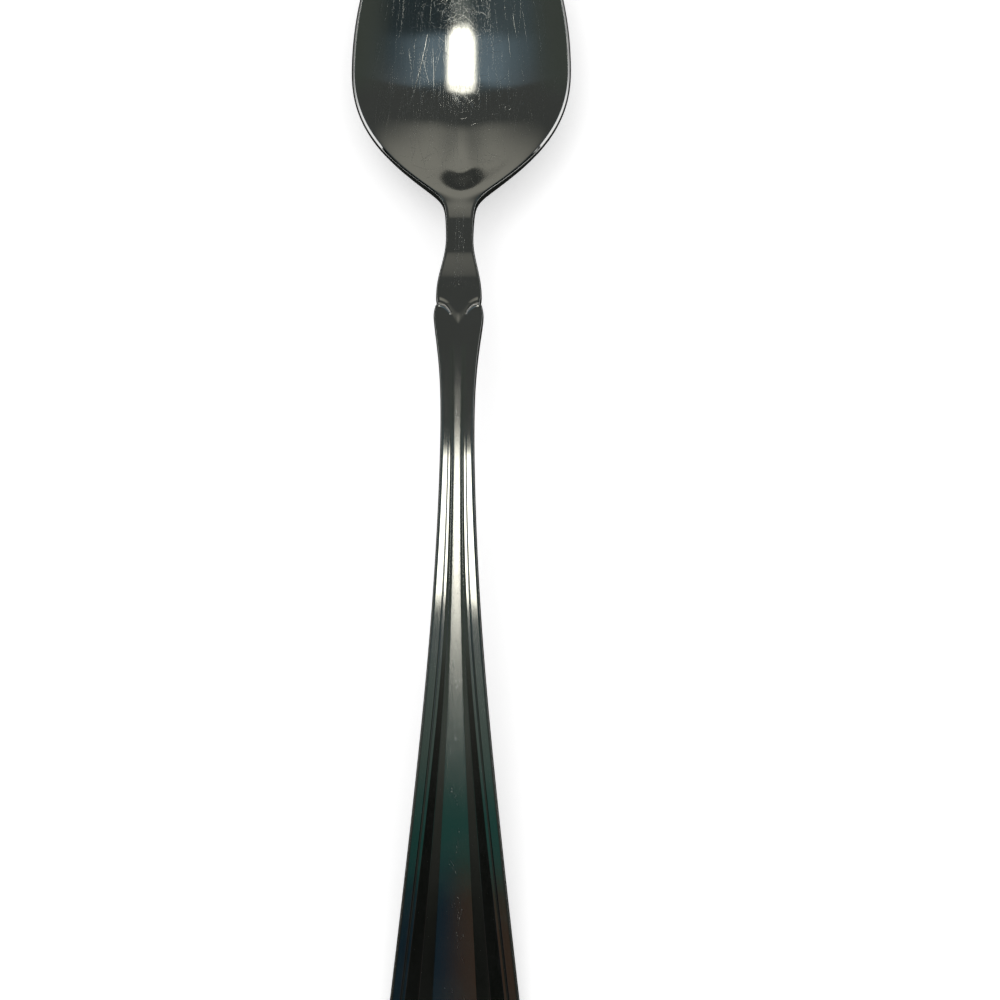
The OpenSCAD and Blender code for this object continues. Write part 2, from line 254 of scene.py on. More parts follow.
# The lobes' fronts reach back to the stem; each has a steep step, a soft rise and a fine bead
LOBE_REACH, LOBE_STEM, LOBE_LEAST = 1.7, 1.0, 0.1
LOBE_STEP, LOBE_SOFT, LOBE_SOFT_SHARE = 0.32, 2.4, 0.3
BEAD_RISE, BEAD_W = 0.06, 0.16
# Groove in front of the lobes: its start along the spoon, and across as a share of the half width
FRONT_GROOVE, FRONT_GROOVE_W = 0.07, 0.16
FRONT_GROOVE_FROM, FRONT_GROOVE_IN = 1.0, 0.8
FRONT_GROOVE_SIDE, FRONT_GROOVE_SIDE_IN = 0.22, 0.2
# The border leans outward, bears a thin line and is slimmer behind the shoulders
BORDER_FALL = 0.055
GROOVE_AT, GROOVE_W, GROOVE_DIP, GROOVE_FROM, GROOVE_IN = 0.34, 0.05, 0.04, 6.0, 8.0
SLIMMER, SLIMMER_FROM, SLIMMER_TO = 0.35, 69.0, 90.0
# Length over which the rib and the coves rise out of the bands
RIB_SETS_IN = 7.0
# Hand polishing leaves the neck's top wavy, and the handle's top a little fuller
NECK_WAVE, NECK_WAVE_AT, NECK_WAVE_LEN, NECK_WAVE_EDGE = 0.25, 60.8, 9.6, 0.97
WAVE_FADE_IN, WAVE_FADE_OUT = 3.0, 3.5
HANDLE_SWELL, SWELL_AT, SWELL_LEN, SWELL_FADE = 0.18, 98.0, 18.0, 52.0


def border(s):
    """Width of the raised border, from the spoon's outline to the ridge."""
    wide = mix(BORDER_SLIM, BORDER_WIDE, ease((s - NOTCH_AT - BORDER_FROM) / BORDER_OVER))
    inner = np.minimum(s, ROUND_FROM)
    bulge = np.maximum(0, half_w(inner) - taper_half(inner))
    slimmer = SLIMMER * ease((s - BOWL_LEN) / (SLIMMER_FROM - BOWL_LEN))
    slimmer = slimmer * (1 - ease((s - SLIMMER_FROM) / (SLIMMER_TO - SLIMMER_FROM)))
    return wide + ease((s - BOWL_LEN) / (NOTCH_AT - BOWL_LEN)) * bulge - slimmer


def toward_stem(x, s):
    """0 at the sides, 1 in the middle, as the bands curve into the stem."""
    return np.maximum(0, 1 - np.sqrt(x * x + STEM_ROUND) / half_w(s)) ** 2


def behind_band(x, s):
    return s - (NOTCH_AT - BAND_FROM + BAND_REACH * toward_stem(x, s))


def band_len(x, s):
    return BAND_LEN + BAND_WIDEN * toward_stem(x, s)


def behind_lobe(x, s):
    """The lobes' fronts are nearly quarters of ellipses: square at the side, steep by the stem."""
    m = np.clip(1 - (x - LOBE_STEM) / np.maximum(half_w(s) - LOBE_STEM, LOBE_LEAST), 0, 1)
    return s - (NOTCH_AT + LOBE_REACH * mix(1 - np.sqrt(1 - m * m), m**3, 0.5))


def base_relief(x, s):
    """Height of the bands and of the groove behind them, without the lobes, rib and ridges."""
    groove = FRONT_GROOVE * bump(behind_lobe(x, s) + FRONT_GROOVE_W, FRONT_GROOVE_W)
    groove = groove * ease((s - NOTCH_AT + FRONT_GROOVE_FROM) / FRONT_GROOVE_IN)
    groove = groove * ease((x / half_w(s) - FRONT_GROOVE_SIDE) / FRONT_GROOVE_SIDE_IN)
    band = BAND_TO * (1 + toward_stem(x, s)) * ease(behind_band(x, s) / band_len(x, s))
    return band - groove


def inner_relief(v, x, s):
    """v runs from the middle to the ridge: a flat-topped rib, then a straight-sided cove."""
    left = 1 - ease((s - SPOON_LEN + RIB_FADE) / RIB_FADE)
    set_in = ease((behind_band(x, s) - BAND_LEN) / RIB_SETS_IN)
    rib = RIB_RISE * (1 - RIB_CROWN * (v / RIB_SHARE) ** 2)
    u = np.clip((v - RIB_SHARE) / (1 - RIB_SHARE), 0, 1)
    half = np.maximum(COVE_LEAST, (1 - RIB_SHARE) / 2 * (half_w(s) - border(s)))
    deep = ((COVE_SLOPE * half) ** -3 + COVE_DEEPEST**-3) ** (-1 / 3)
    flat = math.sqrt(1 + COVE_SOFT**2)
    cove = (flat - np.sqrt((2 * u - 1) ** 2 + COVE_SOFT**2)) / (flat - COVE_SOFT)
    lifted = mix(rib, RIDGE_RISE, u) * mix(ease(v), 1, left) - left * deep * cove
    return mix(base_relief(x, s), lifted, set_in)


def border_relief(t, x, s):
    """t runs from the ridge to the side: a flat top, leaning outward, with a thin groove."""
    d = behind_lobe(x, s)
    up = mix(ease(d / LOBE_STEP), ease(d / LOBE_SOFT), LOBE_SOFT_SHARE)
    bead = BEAD_RISE * bump(d - LOBE_STEP, BEAD_W)
    groove = GROOVE_DIP * bump(t - GROOVE_AT, GROOVE_W)
    groove = groove * ease((s - NOTCH_AT - GROOVE_FROM) / GROOVE_IN)
    return mix(base_relief(x, s), RIDGE_RISE - BORDER_FALL * t - groove, up) + bead


def neck_wave(s):
    on_neck = ease((s - BOWL_LEN) / WAVE_FADE_IN)
    on_neck = on_neck * (1 - ease((s - NOTCH_AT + WAVE_FADE_OUT) / WAVE_FADE_OUT))
    turn = np.sin(2 * math.pi * (s - NECK_WAVE_AT) / NECK_WAVE_LEN)
    return NECK_WAVE * on_neck * (np.arcsin(NECK_WAVE_EDGE * turn) * 2 / math.pi)


def handle_swell(s):
    up = HANDLE_SWELL * ease((s - SWELL_AT) / SWELL_LEN)
    return up * (1 - ease((s - SWELL_AT - SWELL_LEN) / SWELL_FADE))


def top_z(x, s):
    return line_z(s) - hollow_z(x, s) - thumb_z(x, s) + neck_wave(s) + handle_swell(s)


def back_z(x, s):
    thick = mix(side_t(s), middle_t(s), 1 - across(x, s))
    return np.maximum(0, line_z(s) - hollow_z(x, s) - thick)


# ---------------------------------------------------------------- surface
# Places of the grid's lines across: rib and coves, border, round the lip, back
INNER = np.unique(np.concatenate([
    np.linspace(0, 0.41, 9), np.linspace(0.41, 0.49, 11), np.linspace(0.49, 0.67, 5),
    np.linspace(0.67, 0.78, 8), np.linspace(0.78, 0.96, 5), np.linspace(0.96, 1, 5)]))
BORDER = np.unique(np.concatenate([
    np.linspace(0, 0.2, 6), np.linspace(0.2, 0.48, 14), np.linspace(0.48, 1, 12)]))[1:]
CORNER = np.linspace(0, 1, 6)[1:]
BACK = np.linspace(1, 0, 22)[1:]
# Rounding of the lip's corners: of the facets' widths, below the widest line, and the least
# share of the edge's height that is left under that line
CORNER_SHARE, UNDER_SHARE, UNDER_LEAST = 0.20, 0.35, 0.1
# Slope of the lip, steep round the bowl and flatter behind, and its outermost, steeper facet
RIM_BEVEL, RIM_BEVEL_TO, RIM_BEVEL_FADE, LIP_BEVEL = 1.40, 40.5, 4.0, 0.50
OUTER_W, OUTER_SLOPE = 0.13, 2.6
# The back's slope beside the lip is measured over this share of the lip
BACK_SLOPE_OVER = 0.5


def bezier(p, q, r, t):
    return mix(mix(p, q, t), mix(q, r, t), t)


def half_section(s):
    """Right half of every section, from the middle of the top round to the middle of the back."""
    s = s[:, None]
    x_r, s_r = inset(s, border(s))
    x = x_r * INNER
    xs, ss = [x], [s_r + 0 * x]
    zs = [top_z(x, ss[0]) + inner_relief(INNER + 0 * x, x, s)]

    r = side_round(s)
    lip_from = r * (1 + CORNER_SHARE)
    x, at = inset(s, mix(border(s), lip_from, BORDER))
    xs.append(x)
    ss.append(at)
    zs.append(top_z(x, at) + border_relief(BORDER + 0 * x, x, s))

    # The lip: from the top's edge over a bevel to the widest line, then back under
    edge_x, edge_s = inset(s, r)
    edge_z = top_z(edge_x, edge_s) + border_relief(1 + 0 * edge_x, edge_x, s)
    under_z = back_z(edge_x, edge_s)
    in_x, in_s = inset(s, r * (1 + BACK_SLOPE_OVER))
    back_slope = (under_z - back_z(in_x, in_s)) / (BACK_SLOPE_OVER * r)
    slope = mix(RIM_BEVEL, LIP_BEVEL, ease((s - RIM_BEVEL_TO) / RIM_BEVEL_FADE))
    start = (lip_from, zs[-1][:, -1:])
    top = (r, edge_z)
    outer = (OUTER_W + 0 * r, edge_z - (r - OUTER_W) * slope)
    least_z = under_z + UNDER_LEAST * (edge_z - under_z)
    wide = (0 * r, np.maximum(outer[1] - OUTER_W * OUTER_SLOPE, least_z))
    low_point = (0 * r, np.minimum(wide[1], under_z + back_slope * r))
    last = (r, under_z)

    def between(p, q, k):
        return mix(p[0], q[0], k), mix(p[1], q[1], k)

    after_top = between(top, outer, CORNER_SHARE)
    before_outer = between(top, outer, 1 - CORNER_SHARE)
    after_outer = between(outer, wide, CORNER_SHARE)
    before_wide = between(outer, wide, 1 - CORNER_SHARE)
    after_wide = between(wide, low_point, UNDER_SHARE)
    turns = (
        (start, top, after_top),
        (after_top, between(after_top, before_outer, 0.5), before_outer),
        (before_outer, outer, after_outer),
        (after_outer, between(after_outer, before_wide, 0.5), before_wide),
        (before_wide, wide, after_wide),
        (after_wide, low_point, last),
    )
    for p, q, e in turns:
        d = bezier(p[0], q[0], e[0], CORNER)
        x, at = inset(s, d)
        xs.append(x)
        ss.append(at)
        zs.append(bezier(p[1], q[1], e[1], CORNER))

    x = edge_x * BACK
    xs.append(x)
    ss.append(edge_s + 0 * x)
    zs.append(back_z(x, ss[-1]))
    return np.concatenate(xs, 1), np.concatenate(ss, 1), np.concatenate(zs, 1)


def whole_section(s):
    """Closed loops of points, in metres, from the middle of the top round by the right side."""
    x, at, z = half_section(s)
    loop = [np.concatenate([a, m * a[:, -2:0:-1]], 1) for a, m in ((x, -1), (at, 1), (z, 1))]
    return np.stack([loop[0], SPOON_LEN / 2 - loop[1], loop[2]], -1) * MM


def stations():
    """Stations of the three zones, closer together where the shape turns; the joins are shared."""
    turn = np.radians(np.concatenate([np.linspace(0.6, 10, 14), np.linspace(10, 90, 105)[1:]]))
    throat = np.linspace(BOWL_WIDE_AT, BOWL_LEN, 70)[1:]
    bowl = np.concatenate([BOWL_WIDE_AT * (1 - np.cos(turn)), throat])
    neck = np.linspace(BOWL_LEN, NOTCH_AT, 110)
    shoulders = np.linspace(NOTCH_AT, NOTCH_AT + RIB_SETS_IN, 80)
    stem = np.linspace(NOTCH_AT + RIB_SETS_IN, ROUND_FROM, 170)
    turn = np.radians(np.concatenate([np.linspace(0, 84, 70), np.linspace(84, 89.4, 14)[1:]]))
    end = ROUND_FROM + END_LEN * np.sin(turn)
    return bowl, neck, np.concatenate([shoulders, stem[1:], end[1:]])


zones = stations()
rows = np.concatenate([zones[0], zones[1][1:], zones[2][1:]])
points = whole_section(rows)
N = points.shape[1]

d_row = np.gradient(points, axis=0)
d_col = (np.roll(points, -1, 1) - np.roll(points, 1, 1)) / 2
normals = np.cross(d_row, d_col)
normals /= np.maximum(np.linalg.norm(normals, axis=-1, keepdims=True), 1e-12)
if normals[len(zones[0]) // 2, 0, 2] < 0:
    normals = -normals

# How satin each point of the top is: the rib is tumbled, the rest is polished. It sets in behind
# the notch, grows along the stem and is nearly gone toward the end
SATIN_FROM, SATIN_IN = 4.0, 10.0
SATIN_GROWS_TO, SATIN_GROWS_AT, SATIN_GROWS_IN = 1.7, 92.0, 16.0
SATIN_GONE, SATIN_GONE_AT, SATIN_GONE_IN = 0.95, 114.0, 24.0
SATIN_EDGE, SATIN_EDGE_W = 0.8, 0.4     # it fades out across the rib's edge, in shares of the rib
ridge_i = len(INNER) - 1
v_of = np.full(N, 2.0)
v_of[: ridge_i + 1] = INNER
v_of[N - ridge_i:] = INNER[:0:-1]
on_rib = 1 - ease((v_of - RIB_SHARE * SATIN_EDGE) / (RIB_SHARE * SATIN_EDGE_W))
satin_along = ease((rows - NOTCH_AT - SATIN_FROM) / SATIN_IN)
satin_along *= mix(1, SATIN_GROWS_TO, ease((rows - SATIN_GROWS_AT) / SATIN_GROWS_IN))
satin_along *= 1 - SATIN_GONE * ease((rows - SATIN_GONE_AT) / SATIN_GONE_IN)
rib_mask = on_rib[None, :] * satin_along[:, None]


def make_piece(name, first, last):
    """Mesh of the rows from first to last, with the whole surface's normals, so no join shows."""
    grid = points[first:last + 1]
    count = len(grid)
    r, c = np.meshgrid(np.arange(count - 1), np.arange(N), indexing="ij")
    a, b = r * N + c, r * N + (c + 1) % N
    faces = np.stack([a, a + N, b + N, b], -1).reshape(-1, 4).tolist()
    if first == 0:
        faces += cap(0)
    if last == len(rows) - 1:
        faces += [f[::-1] for f in cap((count - 1) * N)]
    mesh = bpy.data.meshes.new(name)
    mesh.from_pydata(grid.reshape(-1, 3).tolist(), [], faces)
    mesh.update()
    mesh.shade_smooth()
    mesh.normals_split_custom_set_from_vertices(normals[first:last + 1].reshape(-1, 3).tolist())
    satin = mesh.attributes.new("satin", "FLOAT", "POINT")
    satin.data.foreach_set("value", rib_mask[first:last + 1].astype(np.float32).ravel())
    piece = bpy.data.objects.new(name, mesh)
    bpy.context.collection.objects.link(piece)
    return piece


def cap(o):
    """Faces over the rounded tip or end: laced from the right side to the left."""
    last_i = N // 2
    back_i = last_i - len(BACK)
    top = [o + N - i for i in range(ridge_i, 0, -1)] + [o + i for i in range(ridge_i + 1)]
    top += [o + ridge_i + 1, o + N - ridge_i - 1]
    sides = [[o + i, o + i + 1, o + N - i - 1, o + N - i] for i in range(ridge_i + 1, back_i)]
    back = [o + i for i in range(back_i, last_i + 1)]
    back += [o + N - i for i in range(last_i - 1, back_i - 1, -1)]
    return [top] + sides + [back]


joins = [0, len(zones[0]) - 1, len(zones[0]) + len(zones[1]) - 2, len(rows) - 1]
names = ("bowl", "neck", "handle")
pieces = [make_piece("polished_" + n, joins[i], joins[i + 1]) for i, n in enumerate(names)]


# ---------------------------------------------------------------- node helpers
class Nodes:
    """Short ways to add nodes to a material's or a world's tree."""

    def __init__(self, tree):
        self.tree = tree
        tree.nodes.clear()

    def add(self, kind, **sets):
        node = self.tree.nodes.new(kind)
        for key, value in sets.items():
            setattr(node, key, value)
        return node

    def put(self, socket, value):
        if isinstance(value, bpy.types.NodeSocket):
            self.tree.links.new(value, socket)
        else:
            socket.default_value = value

    def math(self, operation, a, b=0.0, clamp=False):
        node = self.add("ShaderNodeMath", operation=operation, use_clamp=clamp)
        self.put(node.inputs[0], a)
        self.put(node.inputs[1], b)
        return node.outputs[0]

    def smooth(self, value, lo, hi, a=0.0, b=1.0):
        node = self.add("ShaderNodeMapRange", interpolation_type="SMOOTHSTEP")
        for socket, v in zip(node.inputs[:5], (value, lo, hi, a, b)):
            self.put(socket, v)
        return node.outputs[0]

    def window(self, value, lo, hi, soft):
        """1 between lo and hi, with soft edges."""
        up = self.smooth(value, lo - soft, lo + soft)
        return self.math("MULTIPLY", up, self.smooth(value, hi - soft, hi + soft, 1.0, 0.0))

    def blend(self, factor, a, b):
        node = self.add("ShaderNodeMix", data_type="RGBA")
        self.put(node.inputs[0], factor)
        for socket, v in ((node.inputs[6], a), (node.inputs[7], b)):
            self.put(socket, v if isinstance(v, bpy.types.NodeSocket) else (*v, 1.0))
        return node.outputs[2]

    def noise(self, vector, scale, detail=2.0, rough=0.5, distort=0.0):
        node = self.add("ShaderNodeTexNoise")
        self.put(node.inputs["Vector"], vector)
        sets = (("Scale", scale), ("Detail", detail), ("Roughness", rough), ("Distortion", distort))
        for key, v in sets:
            self.put(node.inputs[key], v)
        return node.outputs[0]

    def stretch(self, vector, scale, turn=0.0, move=(0.0, 0.0, 0.0)):
        node = self.add("ShaderNodeMapping")
        self.put(node.inputs["Vector"], vector)
        node.inputs["Location"].default_value = move
        node.inputs["Rotation"].default_value = (0.0, 0.0, turn)
        node.inputs["Scale"].default_value = scale
        return node.outputs[0]


# ---------------------------------------------------------------- steel
# Roughness where least and most worn, what the satin rib adds, what hairlines and rubs vary
ROUGH_LOW, ROUGH_HIGH, ROUGH_RIB, ROUGH_HAIRS, ROUGH_RUBS = 0.06, 0.10, 0.10, 0.05, 0.04
HAIR_RISE, PEBBLE_RISE = 0.0018, 0.0035         # heights of the bump, in millimetres
STEEL_GREY, STEEL_LIGHT = (0.60, 0.60, 0.585), (0.64, 0.645, 0.64)
TORN_GREY, TORN_LIGHT, TORN_ROUGH = (0.66, 0.67, 0.67), (0.80, 0.81, 0.81), (0.16, 0.34)


def polished_steel():
    """Worn polish: hairlines, rubs and clouds in the roughness, and pebbles on the satin rib."""
    material = bpy.data.materials.new("polished_steel")
    material.use_nodes = True
    n = Nodes(material.node_tree)
    place = n.add("ShaderNodeTexCoord").outputs["Object"]
    mm = n.stretch(place, (1 / MM,) * 3)            # the pattern's own millimetres
    satin = n.add("ShaderNodeAttribute", attribute_name="satin").outputs["Fac"]

    hairs = n.noise(n.stretch(mm, (9.0, 0.3, 9.0), 0.03), 1.0, 3.0, 0.6)
    rubs = n.noise(n.stretch(mm, (3.0, 0.5, 3.0), 0.5), 1.0, 4.0, 0.7)
    pebble = n.noise(n.stretch(mm, (3.4, 2.0, 3.0), 0.7), 1.0, 3.0, 0.6)
    cloud = n.noise(mm, 0.11, 3.0, 0.6)

    rough = n.smooth(cloud, 0.3, 0.75, ROUGH_LOW, ROUGH_HIGH)
    rough = n.math("ADD", rough, n.math("MULTIPLY", satin, ROUGH_RIB))
    rough = n.math("ADD", rough, n.math("MULTIPLY", n.math("SUBTRACT", hairs, 0.5), ROUGH_HAIRS))
    rubbed = n.math("MULTIPLY", n.math("SUBTRACT", rubs, 0.5), ROUGH_RUBS)
    rough = n.math("ADD", rough, rubbed, clamp=True)
    tone = n.blend(cloud, STEEL_GREY, STEEL_LIGHT)

    height = n.math("MULTIPLY", hairs, HAIR_RISE)
    pebbled = n.math("MULTIPLY", n.math("MULTIPLY", pebble, satin), PEBBLE_RISE)
    height = n.math("ADD", height, pebbled)
    relief = n.add("ShaderNodeBump")
    relief.inputs["Strength"].default_value = 1.0
    relief.inputs["Distance"].default_value = MM
    n.put(relief.inputs["Height"], height)

    shader = n.add("ShaderNodeBsdfPrincipled")
    shader.inputs["Metallic"].default_value = 1.0
    n.put(shader.inputs["Base Color"], tone)
    n.put(shader.inputs["Roughness"], rough)
    n.put(shader.inputs["Normal"], relief.outputs[0])
    out = n.add("ShaderNodeOutputMaterial")
    n.put(out.inputs["Surface"], shader.outputs[0])
    return material


def scratched_steel():
    """The torn metal of a scratch: the same steel, but rough."""
    material = bpy.data.materials.new("scratched_steel")
    material.use_nodes = True
    n = Nodes(material.node_tree)
    mm = n.stretch(n.add("ShaderNodeTexCoord").outputs["Object"], (1 / MM,) * 3)
    depth = n.noise(mm, 1.3, 2.0, 0.6)
    shader = n.add("ShaderNodeBsdfPrincipled")
    shader.inputs["Metallic"].default_value = 1.0
    n.put(shader.inputs["Base Color"], n.blend(depth, TORN_GREY, TORN_LIGHT))
    n.put(shader.inputs["Roughness"], n.smooth(depth, 0.3, 0.7, *TORN_ROUGH))
    out = n.add("ShaderNodeOutputMaterial")
    n.put(out.inputs["Surface"], shader.outputs[0])
    return material


steel = polished_steel()
for piece, node in zip(pieces, names):
    piece.data.materials.append(steel)
    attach(piece, "root")
    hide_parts(node)


# ---------------------------------------------------------------- wear scratches
LIFT = 0.004                    # the strips lie this far over the polished surface
# Scratches keep this far from the outline, in the bowl and on the neck, and change over from here
MARGIN_BOWL, MARGIN_NECK, MARGIN_FROM, MARGIN_OVER = 1.6, 0.7, 44.0, 6.0
# Most of those that cross the window's reflection are left out
GLARE_X, GLARE_HALF, GLARE_FROM, GLARE_TO, GLARE_SKIP = -0.1, 1.6, 21, 29, 0.8
# How steep their sides are, and how pointed they end, in radians of a half wave
STEEP_LEAST, STEEP_MORE, POINTED = 0.02, 0.4, 0.12
dice = np.random.default_rng(7)         # one seeded row of draws, so their order matters


def curve(x, s, turn, length, bow):
    """A slightly bowed line: its middle, its turn from the spoon's length, its length and bow."""
    k = np.linspace(-0.5, 0.5, max(3, int(length / 0.4) + 2))
    side = bow * length * (0.25 - k * k)
    sin, cos = math.sin(turn), math.cos(turn)
    return x + k * length * sin + side * cos, s + k * length * cos - side * sin


def arc(x, s, radius, start, sweep):
    """Part of a circle: its middle, radius, first angle and sweep."""
    a = start + np.linspace(0, sweep, max(4, int(radius * abs(sweep) / 0.25) + 2))
    return x + radius * np.cos(a), s + radius * np.sin(a)


def bowl_scratches():
    """Lines and their half widths: long ones down the bowl, fine ones, short ones any way round,
    swirls toward the tip and short ones behind the window's reflection.
    """
    for _ in range(130):
        x, s = dice.normal(-1.0, 4.5), dice.uniform(8, 44)
        line = curve(x, s, dice.normal(0, 0.10), dice.uniform(2, 11), dice.normal(0, 0.12))
        yield line, dice.uniform(0.009, 0.022)
    for _ in range(420):
        x, s = dice.uniform(-12, 12), dice.uniform(6, 38)
        turn = dice.normal(0.01 * x, 0.05)
        line = curve(x, s, turn, dice.uniform(1.5, 8), dice.normal(0, 0.05))
        yield line, dice.uniform(0.004, 0.010)
    for _ in range(230):
        x, s = dice.normal(0, 5.0), dice.uniform(6, 48)
        turn = dice.uniform(-1.6, 1.6)
        line = curve(x, s, turn, dice.uniform(0.4, 2.6), dice.normal(0, 0.2))
        yield line, dice.uniform(0.008, 0.020)
    for _ in range(90):
        x, s = dice.normal(-0.5, 1.8), dice.normal(18.0, 1.6)
        swirl = arc(x, s, dice.uniform(0.6, 2.8), dice.uniform(0, 6.3), dice.uniform(0.6, 2.4))
        yield swirl, dice.uniform(0.014, 0.034)
    for _ in range(50):
        x, s = dice.normal(0, 1.6), dice.normal(31.6, 0.9)
        line = curve(x, s, dice.normal(0.2, 0.5), dice.uniform(0.5, 2.0), 0.1)
        yield line, dice.uniform(0.014, 0.030)


def clear_scratches():
    """The few that show clearly in the photograph: three on the left, one on the right, a ring."""
    for x, s, turn, length, bow in (
            (-6.0, 27.4, -0.21, 11.2, 0.05), (-4.0, 26.9, 0.02, 6.2, 0.03),
            (-2.3, 23.4, 0.05, 3.8, 0.06), (3.6, 18.7, -0.06, 4.4, 0.04)):
        yield curve(x, s, turn, length, bow), 0.055
    yield arc(6.3, 33.3, 0.4, 0.0, 6.28), 0.035


def stem_scratches():
    """Lengthwise lines on the neck's flat top and along the middle of the rib, with a few pits."""
    for _ in range(60):
        s = dice.uniform(51, 63)
        x = dice.uniform(-0.6, 0.6)
        line = curve(x, s, dice.normal(0, 0.05), dice.uniform(0.6, 3.5), 0.02)
        yield line, dice.uniform(0.008, 0.016)
    for i in range(110):
        s = dice.uniform(82, 170)
        reach = 0.5 * RIB_SHARE * float(inset(np.float64(s), border(np.float64(s)))[0])
        if i % 5 == 0:
            length, half = 0.14, dice.uniform(0.04, 0.08)
        else:
            length, half = dice.uniform(0.4, 1.6), dice.uniform(0.008, 0.016)
        yield curve(dice.uniform(-reach, reach), s, dice.normal(0, 0.3), length, 0.05), half


def rib_or_plain(x, s):
    """Height over top_z of a place in the middle of the top."""
    x = np.abs(x)
    return inner_relief(x / inset(s, border(s))[0], x, s)


def strip_mesh(name, lines):
    """Thin raised edges, pointed at both ends: each has two facets and a closed underside."""
    verts, faces = [], []
    for (x, s), half in lines:
        margin = mix(MARGIN_BOWL, MARGIN_NECK, ease((s - MARGIN_FROM) / MARGIN_OVER))
        past = (np.abs(x) > half_w(s) - margin).any()
        in_glare = abs(x.mean() - GLARE_X) < GLARE_HALF and GLARE_FROM < s.mean() < GLARE_TO
        if past or (in_glare and dice.random() < GLARE_SKIP):
            continue
        dx, ds = np.gradient(x), np.gradient(s)
        size = np.hypot(dx, ds)
        point = half * np.sin(np.linspace(POINTED, math.pi - POINTED, len(x))) ** 0.5
        steep = STEEP_LEAST + STEEP_MORE * dice.random() ** 2
        first = len(verts)
        for side in (-1, 0, 1):
            px, ps = x + side * ds / size * point, s - side * dx / size * point
            pz = top_z(px, ps) + rib_or_plain(px, ps) + LIFT + (0 if side else steep * point)
            verts += (np.stack([px, SPOON_LEN / 2 - ps, pz], 1) * MM).tolist()
        k = len(x)
        faces += [(first + a + i, first + a + i + 1, first + b + i + 1, first + b + i)
                  for a, b in ((0, k), (k, 2 * k), (2 * k, 0)) for i in range(k - 1)]
        faces.append((first, first + k, first + 2 * k))
        faces.append((first + 3 * k - 1, first + 2 * k - 1, first + k - 1))
    mesh = bpy.data.meshes.new(name)
    mesh.from_pydata(verts, [], faces)
    mesh.update()
    return mesh


scratches = [*bowl_scratches(), *clear_scratches(), *stem_scratches()]
wear = bpy.data.objects.new("wear_scratches", strip_mesh("wear_scratches", scratches))
wear.data.materials.append(scratched_steel())
bpy.context.collection.objects.link(wear)
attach(wear, "root")


# ---------------------------------------------------------------- studio
# Painted shade: close under the spoon, mirrored rays see the floor dark, standing in for the
# floor's shadow there that the steel mirrors; its half sizes and its place
SHADE_UNDER_X, SHADE_UNDER_Y, SHADE_UNDER_AT = 50 * MM, 150 * MM, -25 * MM
SHADE_UNDER_EDGE = 0.15                                     # softness of the painted shade's edge, of its half size
# dark colour of the painted shade that mirrored rays see on the floor under the spoon
SHADE_UNDER_DARK = (0.02, 0.022, 0.02)
FLOOR_HALF, FLOOR_UNDER = 3.0, 0.00005              # metres; the floor lies a hair under the spoon
FLOOR_PALE, FLOOR_PALER, GRAIN_SCALE = (0.815,) * 3, (0.825,) * 3, 60.0
FLOOR_GLOW, WORLD_LIGHT = 0.42, 0.88

# Colours of the room that the steel mirrors; the bounds of its parts stand in studio_world
ROOM_LEFT, ROOM_RIGHT = (0.062, 0.084, 0.090), (0.026, 0.038, 0.041)
ROOM_FRONT, ROOM_FAR_SIDES = (0.056, 0.060, 0.056), (0.058, 0.068, 0.058)
WARM_WALL = (0.265, 0.26, 0.225)
BLINDS, GLASS_DIM, GLASS_BRIGHT = (0.165, 0.225, 0.262), (3.3, 3.2, 2.8), (3.7, 3.6, 3.1)
SLAT = 0.0185                                       # height of one slat of the blinds
WINDOW_AT, WINDOW_BOW = -0.012, 0.19                # the window's middle, and how its edges bow
OVERHEAD_EDGE, OVERHEAD_BACK = (0.045, 0.048, 0.040), (0.004, 0.005, 0.004)
OVERHEAD_LIGHTER = (0.030, 0.034, 0.030)
OVERHEAD_GREY, OVERHEAD_GREEN = (0.045, 0.075, 0.062), (0.012, 0.059, 0.049)
OVERHEAD_BLUE, OVERHEAD_BROWN = (0.006, 0.018, 0.030), (0.044, 0.027, 0.018)
GLOW = (0.16, 0.18, 0.168)
LOW_DARK, LOW_GREY, PANEL = (0.12, 0.13, 0.13), (0.035, 0.042, 0.040), (1.0, 1.0, 0.98)

LAMP_SIZE, LAMP_WATTS, LAMP_AT = 0.5, 0.9, (-0.35, 0.25, 0.9)
# The camera fitted to the photograph's outline
CAMERA_AT, CAMERA_TURN = Vector((8.0, -109.037, 296.498)) * MM, Euler((0.3665, 0.0, -0.0020))
SENSOR, LENS, SHIFT = 36, 87.842, -0.0224


def mirror_share(n, path):
    """1 for the rays that metal or glass sends on."""
    glossy, through = path.outputs["Is Glossy Ray"], path.outputs["Is Transmission Ray"]
    sent = n.math("ADD", glossy, through, clamp=True)
    return n.math("MULTIPLY", sent, n.math("SUBTRACT", 1.0, path.outputs["Is Camera Ray"]))


